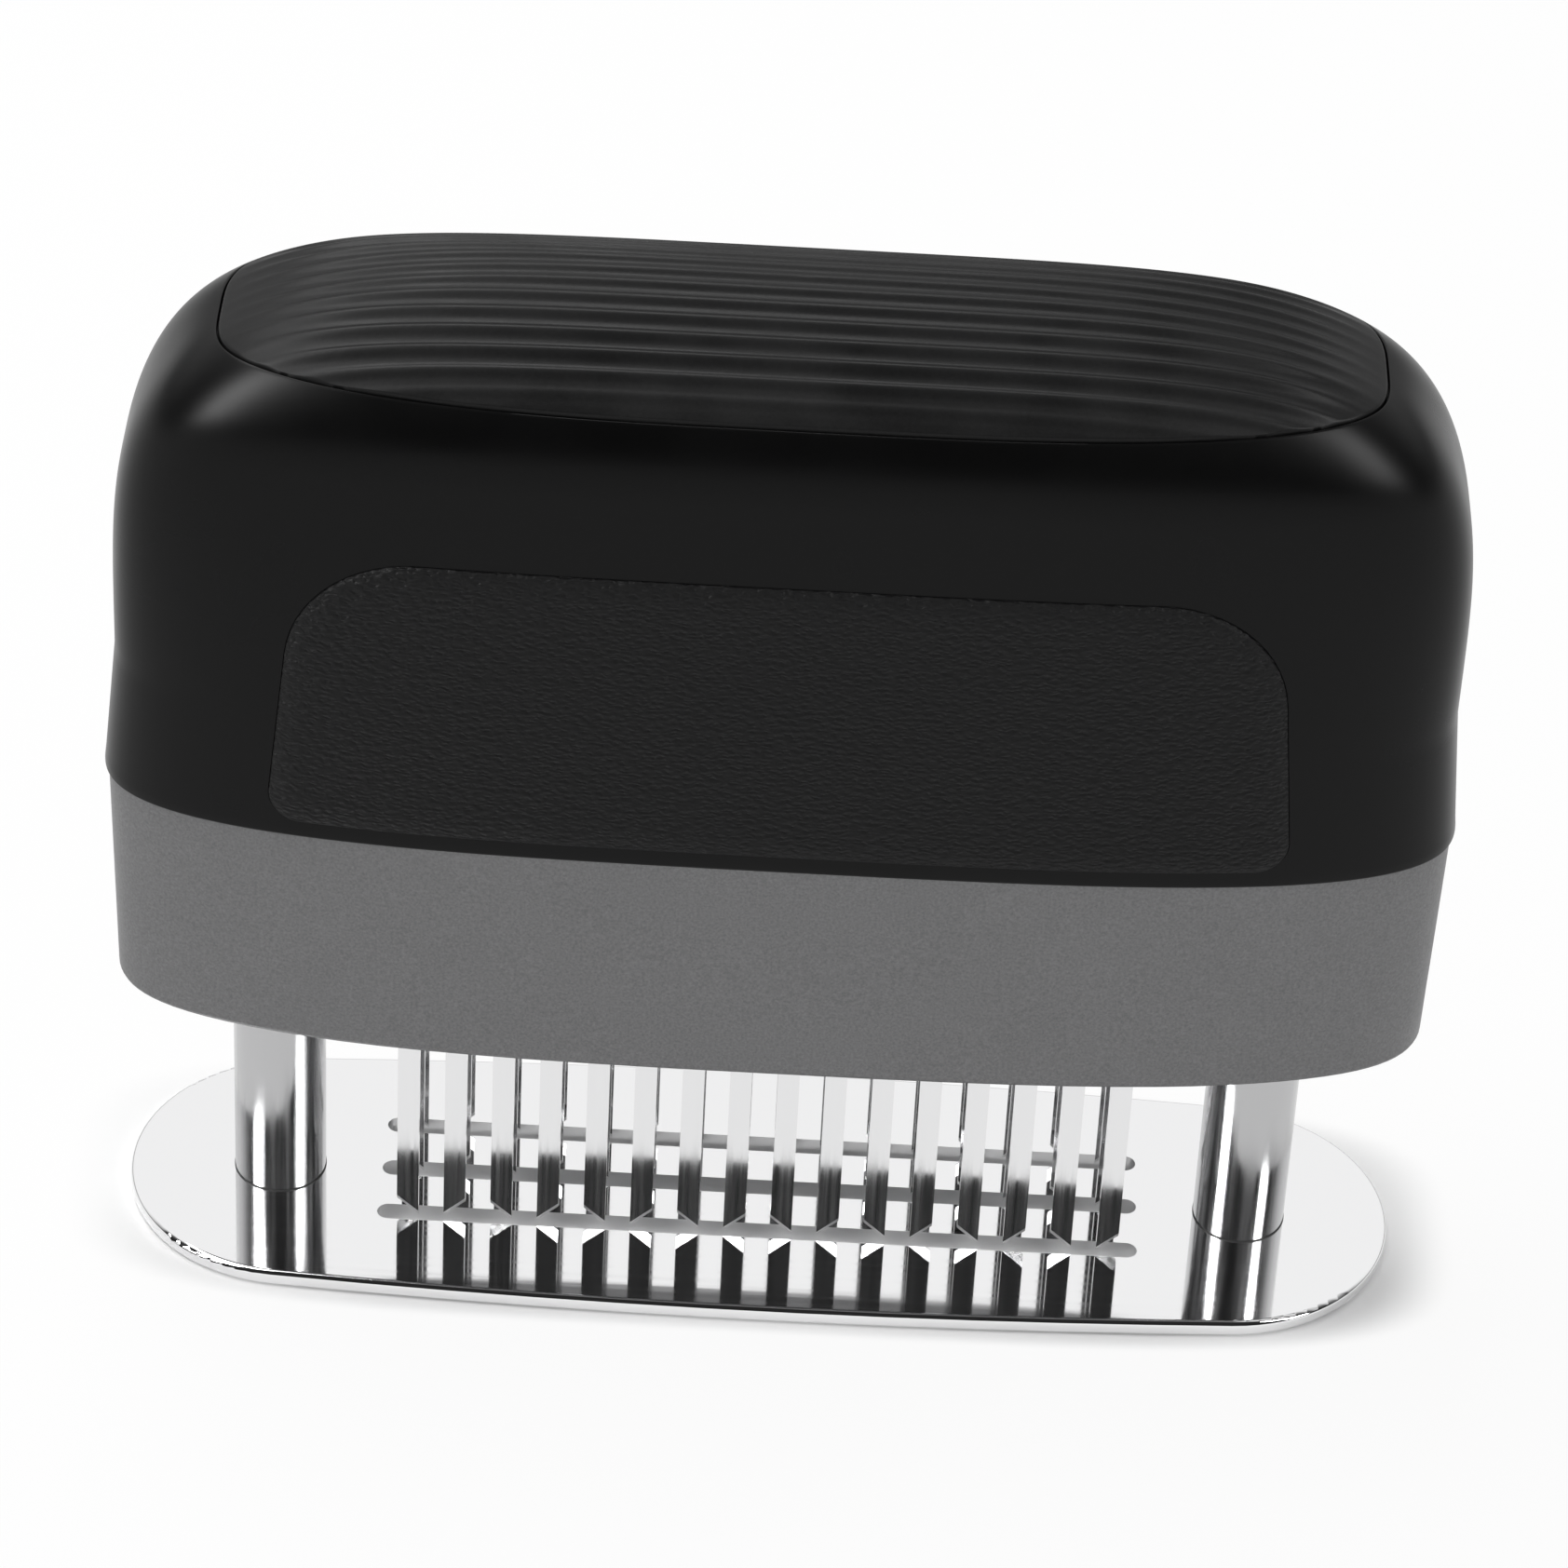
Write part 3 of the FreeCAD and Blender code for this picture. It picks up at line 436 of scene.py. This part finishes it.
def coil_spring(name, node):
    """Round wire wound between the lowest and highest point of its CAD node."""
    low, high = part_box(node)
    middle = (low + high) / 2
    radius = (high.x - low.x) / 2 - WIRE / 2
    bottom, top = low.z + WIRE / 2, high.z - WIRE / 2
    steps = SPRING_TURNS * STEPS_PER_TURN
    upward = np.array((0, 0, 1))
    rings = []
    for i in range(steps + 1):
        share = i / steps
        turn = 2 * math.pi * SPRING_TURNS * share
        out = np.array((math.cos(turn), math.sin(turn), 0))
        centre = np.array((middle.x, middle.y, bottom + share * (top - bottom))) + radius * out
        ring = [centre + WIRE / 2 * (math.cos(a) * out + math.sin(a) * upward)
                for a in np.linspace(0, 2 * math.pi, WIRE_SIDES, endpoint=False)]
        rings.append(np.array(ring))
    points, faces = skin_rings(rings, close_first=True, close_last=True)
    return mesh_object(name, points, faces)


# Materials
def new_material(name, color, roughness, metallic=0.0):
    material = bpy.data.materials.new(name)
    material.use_nodes = True
    shader = material.node_tree.nodes["Principled BSDF"]
    shader.inputs["Base Color"].default_value = (*color, 1)
    shader.inputs["Roughness"].default_value = roughness
    shader.inputs["Metallic"].default_value = metallic
    return material


def set_specular(material, level):
    material.node_tree.nodes["Principled BSDF"].inputs["Specular IOR Level"].default_value = level


def add_node(material, kind, **values):
    node = material.node_tree.nodes.new(kind)
    for key, value in values.items():
        if key in node.inputs:
            node.inputs[key].default_value = value
        else:
            setattr(node, key, value)
    return node


def link(material, start, end):
    material.node_tree.links.new(start, end)


def object_coordinates(material, stretch=(1, 1, 1)):
    place = add_node(material, "ShaderNodeTexCoord")
    mapping = add_node(material, "ShaderNodeMapping")
    mapping.inputs["Scale"].default_value = stretch
    link(material, place.outputs["Object"], mapping.inputs["Vector"])
    return mapping.outputs["Vector"]


def add_noise(material, scale, detail=4.0, stretch=(1, 1, 1), roughness=0.5):
    noise = add_node(material, "ShaderNodeTexNoise", Scale=scale, Detail=detail, Roughness=roughness)
    link(material, object_coordinates(material, stretch), noise.inputs["Vector"])
    return noise.outputs["Fac"]


def add_bump(material, height, strength, distance, below=None):
    bump = add_node(material, "ShaderNodeBump", Strength=strength, Distance=distance)
    link(material, height, bump.inputs["Height"])
    if below:
        link(material, below, bump.inputs["Normal"])
    return bump.outputs["Normal"]


def set_normal(material, normal):
    link(material, normal, material.node_tree.nodes["Principled BSDF"].inputs["Normal"])


def vary(material, socket, fac, low, high, start=0.35, end=0.65):
    ramp = add_node(material, "ShaderNodeMapRange")
    ramp.inputs["From Min"].default_value = start
    ramp.inputs["From Max"].default_value = end
    ramp.inputs["To Min"].default_value = low
    ramp.inputs["To Max"].default_value = high
    link(material, fac, ramp.inputs["Value"])
    link(material, ramp.outputs["Result"], material.node_tree.nodes["Principled BSDF"].inputs[socket])


def vary_color(material, fac, dark, light, start=0.35, end=0.65):
    ramp = add_node(material, "ShaderNodeValToRGB")
    ramp.color_ramp.elements[0].position = start
    ramp.color_ramp.elements[0].color = (*dark, 1)
    ramp.color_ramp.elements[1].position = end
    ramp.color_ramp.elements[1].color = (*light, 1)
    link(material, fac, ramp.inputs["Fac"])
    link(material, ramp.outputs["Color"], material.node_tree.nodes["Principled BSDF"].inputs["Base Color"])


def housing_material():
    material = new_material("satin_black_plastic", (0.003, 0.003, 0.0031), 0.3)
    set_specular(material, 0.13)
    soft = add_noise(material, scale=60, detail=3)
    vary(material, "Roughness", soft, 0.27, 0.33)
    fine = add_noise(material, scale=2600, detail=2)
    set_normal(material, add_bump(material, fine, strength=0.06, distance=0.04 * MM))
    return material


def collar_material():
    """Grey metallic paint: fine bright and dark flakes in a satin coat."""
    material = new_material("metallic_grey_paint", (0.17, 0.17, 0.172), 0.46, 0.55)
    flakes = add_noise(material, scale=3200, detail=2, roughness=0.7)
    vary_color(material, flakes, (0.145, 0.145, 0.147), (0.215, 0.215, 0.218), 0.3, 0.72)
    cloud = add_noise(material, scale=140, detail=3)
    vary(material, "Roughness", cloud, 0.43, 0.5)
    set_normal(material, add_bump(material, flakes, strength=0.22, distance=0.03 * MM))
    return material


def pad_material():
    material = new_material("ribbed_rubber", (0.008, 0.008, 0.0082), 0.42)
    set_specular(material, 0.2)
    soft = add_noise(material, scale=90, detail=4)
    vary(material, "Roughness", soft, 0.4, 0.5)
    fine = add_noise(material, scale=2200, detail=3, roughness=0.7)
    vary_color(material, fine, (0.004, 0.004, 0.0041), (0.008, 0.008, 0.0082), 0.3, 0.7)
    set_normal(material, add_bump(material, fine, strength=0.35, distance=0.04 * MM))
    return material


def grip_material():
    """Leather grain: short wavy ridges that run along the grip."""
    material = new_material("leather_grain_rubber", (0.0135, 0.0135, 0.0138), 0.5)
    set_specular(material, 0.12)
    warp = add_node(material, "ShaderNodeTexNoise", Scale=900.0, Detail=2.0)
    base = object_coordinates(material)
    link(material, base, warp.inputs["Vector"])
    shift = add_node(material, "ShaderNodeVectorMath", operation="SCALE")
    shift.inputs["Scale"].default_value = 0.8 * MM
    link(material, warp.outputs["Color"], shift.inputs[0])
    moved = add_node(material, "ShaderNodeVectorMath", operation="ADD")
    link(material, base, moved.inputs[0])
    link(material, shift.outputs["Vector"], moved.inputs[1])
    stretch = add_node(material, "ShaderNodeMapping")
    stretch.inputs["Scale"].default_value = (0.42, 1, 1)
    link(material, moved.outputs["Vector"], stretch.inputs["Vector"])
    grain = add_node(material, "ShaderNodeTexVoronoi", Scale=2300.0, feature="SMOOTH_F1")
    grain.inputs["Smoothness"].default_value = 0.6
    link(material, stretch.outputs["Vector"], grain.inputs["Vector"])
    coarse = add_bump(material, grain.outputs["Distance"], strength=1.0, distance=0.25 * MM)
    fine = add_noise(material, scale=3000, detail=2)
    set_normal(material, add_bump(material, fine, strength=0.2, distance=0.04 * MM, below=coarse))
    vary(material, "Roughness", grain.outputs["Distance"], 0.42, 0.58, 0.2, 0.7)
    return material


def polished_steel_material(name, color, roughness, along):
    """Mirror steel with faint polishing lines along one axis."""
    material = new_material(name, color, roughness, 1.0)
    stretch = [1, 1, 1]
    stretch["XYZ".index(along)] = 0.02
    lines = add_noise(material, scale=1500, detail=3, stretch=stretch)
    vary(material, "Roughness", lines, roughness * 0.7, roughness * 1.5)
    set_normal(material, add_bump(material, lines, strength=0.02, distance=0.01 * MM))
    return material


def plastic_material(name, color, roughness):
    material = new_material(name, color, roughness)
    fine = add_noise(material, scale=1800, detail=3)
    vary(material, "Roughness", fine, roughness - 0.05, roughness + 0.05)
    set_normal(material, add_bump(material, fine, strength=0.15, distance=0.04 * MM))
    return material


def give(item, material):
    item.data.materials.clear()
    item.data.materials.append(material)


# Pieces
def build_housing(materials):
    housing = housing_shell()
    for side in (-1, 1):
        cut_with(housing, panel_cutter(side))
    smooth_by_angle(housing, degrees=38)
    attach(housing, "press_head")
    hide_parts("upper_housing")
    give(housing, materials["black_housing"])


def build_pad(materials):
    pad = top_pad()
    smooth_by_angle(pad, degrees=50)
    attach(pad, "press_head")
    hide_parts("top_grip_pad")
    give(pad, materials["black_rubber"])


def build_grips(materials):
    for name, side in (("front", -1), ("rear", 1)):
        grip = grip_panel(name + "_grip_skin", side)
        smooth_by_angle(grip, degrees=60)
        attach(grip, "press_head")
        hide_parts(name + "_grip_panel")
        give(grip, materials["grained_grip"])


def build_springs(materials):
    """Coils that stand on the base, wound between the ends of their CAD nodes."""
    for name in ("left", "right"):
        node = name + "_spring"
        spring = coil_spring(name + "_coil", node)
        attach(spring, "base")
        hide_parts(node)
        give(spring, materials["spring_steel"])
        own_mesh(spring)


def build_post_crease_shades(materials):
    """Dark ring where each post meets the plate: painted shade in the crease."""
    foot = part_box("base_plate")[1].z
    turn = np.linspace(0, 2 * math.pi, CREASE_SHADE_POINTS, endpoint=False)
    for side in ("left", "right"):
        low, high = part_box(side + "_post")
        middle = (low + high) / 2
        rings = []
        for radius, height in ((POST_RADIUS + CREASE_SHADE_PROUD, 0.0),
                               (POST_RADIUS + CREASE_SHADE_PROUD, CREASE_SHADE_HEIGHT),
                               (POST_RADIUS - CREASE_SHADE_PROUD, CREASE_SHADE_HEIGHT)):
            rings.append(np.c_[middle.x + radius * np.cos(turn), radius * np.sin(turn),
                               np.full(CREASE_SHADE_POINTS, foot + height)])
        points, faces = skin_rings(rings, close_first=True, close_last=True)
        # Painted shade in the crease at the post's foot
        seam = mesh_object(side + "_post_crease_shade", points, faces)
        smooth_by_angle(seam, degrees=40)
        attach(seam, "base")
        give(seam, materials["painted_crease_shade"])


def dress_nodes(materials):
    """Gives each CAD node the material of its slot in the record."""
    slots = {part["node"]: part["material_slot"] for part in frame["record"]["subparts"]}
    for name, item in frame["nodes"].items():
        give(item, materials[slots[name]])
    for name in ("left_post", "right_post"):
        give(frame["nodes"][name], materials["post_steel"])


# Stage
def look_at(item, target):
    item.rotation_euler = (Vector(target) - item.location).to_track_quat("-Z", "Y").to_euler()


def add_camera():
    pitch, roll = CAMERA_PITCH, CAMERA_ROLL
    forward = Vector((0, math.cos(pitch), -math.sin(pitch)))
    right = Vector((1, 0, 0))
    up = right.cross(forward)
    tilted_right = math.cos(roll) * right + math.sin(roll) * up
    tilted_up = -math.sin(roll) * right + math.cos(roll) * up
    place = CAMERA_AIM - forward * CAMERA_DISTANCE
    data = bpy.data.cameras.new("camera")
    data.sensor_width = SENSOR_WIDTH
    data.lens = FOCAL_PIXELS / IMAGE_SIZE * data.sensor_width
    camera = bpy.data.objects.new("camera", data)
    axes = Matrix((tilted_right, tilted_up, -forward)).transposed().to_4x4()
    camera.matrix_world = Matrix.Translation(place) @ axes
    bpy.context.scene.collection.objects.link(camera)
    bpy.context.scene.camera = camera


def add_softbox(name, place, target, size, power, matte):
    """Area light; without matte it only shows in reflections."""
    data = bpy.data.lights.new(name, "AREA")
    data.shape = "RECTANGLE"
    data.size, data.size_y = size
    data.energy = power
    item = bpy.data.objects.new(name, data)
    item.location = place
    item.visible_diffuse = matte
    look_at(item, target)
    bpy.context.scene.collection.objects.link(item)


def add_math(tree, operation, *values):
    """Result of a maths node; each value is a number or another node's output."""
    node = tree.nodes.new("ShaderNodeMath")
    node.operation = operation
    for slot, value in zip(node.inputs, values):
        if isinstance(value, (int, float)):
            slot.default_value = value
        else:
            tree.links.new(value, slot)
    return node.outputs[0]


def soft_step(tree, value, reach, lowest=0.0):
    """Smooth rise from lowest to 1 while the value crosses its reach."""
    node = tree.nodes.new("ShaderNodeMapRange")
    node.interpolation_type = "SMOOTHSTEP"
    node.inputs["From Min"].default_value, node.inputs["From Max"].default_value = reach
    node.inputs["To Min"].default_value = lowest
    node.inputs["To Max"].default_value = 1.0
    tree.links.new(value, node.inputs["Value"])
    return node.outputs["Result"]


def split_coordinates(tree, kind):
    place = tree.nodes.new("ShaderNodeTexCoord")
    split = tree.nodes.new("ShaderNodeSeparateXYZ")
    tree.links.new(place.outputs[kind], split.inputs[0])
    return split.outputs


def outside_painted_shadow(tree):
    """0 in a painted shadow under the base plate and a little past its edge, where the floor's glow is
    taken away, to 1 beside it.
    """
    place = split_coordinates(tree, "Object")
    powers = []
    for axis, reach in zip("XY", SHADOW_REACH):
        size = add_math(tree, "ABSOLUTE", add_math(tree, "DIVIDE", place[axis], reach))
        powers.append(add_math(tree, "POWER", size, SHADOW_POWER))
    return soft_step(tree, add_math(tree, "ADD", *powers), SHADOW_RANGE)


def floor_material():
    """Pale surface that the camera and gloss see as near white, except in the painted shadow under and
    around the plate.
    """
    material = bpy.data.materials.new("pale_floor")
    material.use_nodes = True
    tree = material.node_tree
    tree.nodes.clear()
    output = tree.nodes.new("ShaderNodeOutputMaterial")
    surface = tree.nodes.new("ShaderNodeBsdfDiffuse")
    surface.inputs["Color"].default_value = (*FLOOR_COLOR, 1)
    glow = tree.nodes.new("ShaderNodeEmission")
    glow.inputs["Color"].default_value = (1, 1, 1, 1)
    glow.inputs["Strength"].default_value = 1.0
    path = tree.nodes.new("ShaderNodeLightPath")
    seen = add_math(tree, "MAXIMUM", path.outputs["Is Camera Ray"], path.outputs["Is Glossy Ray"])
    share = add_math(tree, "MULTIPLY", seen, FLOOR_WHITE_SHARE)
    mix = tree.nodes.new("ShaderNodeMixShader")
    # Painted shadow: the glow fades out under and around the plate
    tree.links.new(add_math(tree, "MULTIPLY", share, outside_painted_shadow(tree)), mix.inputs[0])
    tree.links.new(surface.outputs[0], mix.inputs[1])
    tree.links.new(glow.outputs[0], mix.inputs[2])
    tree.links.new(mix.outputs[0], output.inputs[0])
    return material


def add_floor():
    size = FLOOR_SIZE
    points = [(-size, -size, 0), (size, -size, 0), (size, size, 0), (-size, size, 0)]
    floor = mesh_object("floor", points, [(0, 1, 2, 3)], smooth=False)
    give(floor, floor_material())


def choose_level(tree, ray, otherwise, level):
    """The level for rays of one kind, and otherwise the other."""
    node = tree.nodes.new("ShaderNodeMix")
    tree.links.new(ray, node.inputs["Factor"])
    for name, value in (("A", otherwise), ("B", level)):
        if isinstance(value, float):
            node.inputs[name].default_value = value
        else:
            tree.links.new(value, node.inputs[name])
    return node.outputs["Result"]


def set_world():
    """White tent for the camera; gloss also mirrors its dark camera side and horizon."""
    world = bpy.data.worlds.new("studio")
    world.use_nodes = True
    tree = world.node_tree
    back = tree.nodes["Background"]
    back.inputs["Color"].default_value = (1, 1, 1, 1)
    path = tree.nodes.new("ShaderNodeLightPath")
    direction = split_coordinates(tree, "Generated")
    rear = soft_step(tree, direction["Y"], CAMERA_SIDE_RANGE, CAMERA_SIDE_LEVEL)
    horizon = soft_step(tree, direction["Z"], HORIZON_RANGE, HORIZON_LEVEL)
    mirrored = add_math(tree, "MULTIPLY", rear, horizon)
    room = choose_level(tree, path.outputs["Is Glossy Ray"], ROOM_LEVEL, mirrored)
    level = choose_level(tree, path.outputs["Is Camera Ray"], room, 1.0)
    tree.links.new(level, back.inputs["Strength"])
    bpy.context.scene.world = world


def add_stage():
    add_camera()
    add_floor()
    set_world()
    for softbox in SOFTBOXES:
        add_softbox(*softbox)
    bpy.context.scene.view_settings.view_transform = "Standard"


materials = {
    "black_housing": housing_material(),
    "grey_collar": collar_material(),
    "black_rubber": pad_material(),
    "grained_grip": grip_material(),
    "polished_steel": polished_steel_material("mirror_steel", (0.86, 0.86, 0.865), 0.05, "X"),
    "post_steel": polished_steel_material("post_steel", (0.49, 0.49, 0.495), 0.18, "Z"),
    "blade_steel": polished_steel_material("blade_steel", (0.80, 0.80, 0.805), 0.12, "Z"),
    "satin_steel": polished_steel_material("satin_steel", (0.62, 0.62, 0.63), 0.3, "Z"),
    "spring_steel": polished_steel_material("spring_steel", (0.55, 0.55, 0.56), 0.25, "Z"),
    # Near-black matte ring at each post's foot: painted shade in the crease
    "painted_crease_shade": new_material("painted_crease_shade", (0.02, 0.02, 0.02), 0.6),
    "carrier_plastic": plastic_material("carrier_plastic", (0.03, 0.03, 0.031), 0.5),
    "bushing_plastic": plastic_material("bushing_plastic", (0.72, 0.71, 0.68), 0.45),
}
dress_nodes(materials)
build_housing(materials)
build_pad(materials)
build_grips(materials)
build_springs(materials)
build_post_crease_shades(materials)
add_stage()
